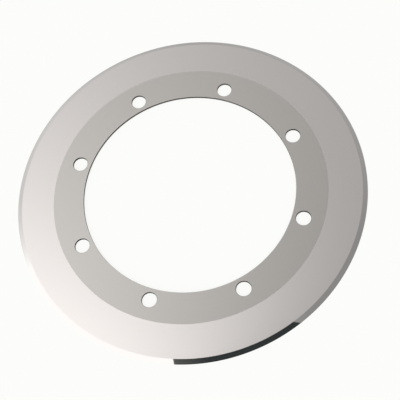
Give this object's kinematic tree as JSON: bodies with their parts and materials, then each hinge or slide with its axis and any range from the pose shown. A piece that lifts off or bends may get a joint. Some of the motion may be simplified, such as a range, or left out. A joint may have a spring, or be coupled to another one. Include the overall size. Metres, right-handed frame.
{
  "type": "circular slitter knife",
  "caption": "Thin circular knife with a wide central bore, a circle of bolt holes in its hub land and a narrow single bevel, for slitting board, paper or film.",
  "frame": {"origin": "centre of the disc on its flat back face, the face that lies on the table", "axes": "+Z along the turning axis, out of the bevelled face; +X through the centre of one bolt hole; +Y through the centre of another"},
  "size_m": [0.26, 0.26, 0.0018],
  "materials": {
    "ground_tool_steel": "surface-ground hub land and relieved ring, lapped bright bevel"
  },
  "bodies": {
    "root": {"slitter_knife": "ground_tool_steel"}
  },
  "joints": []
}
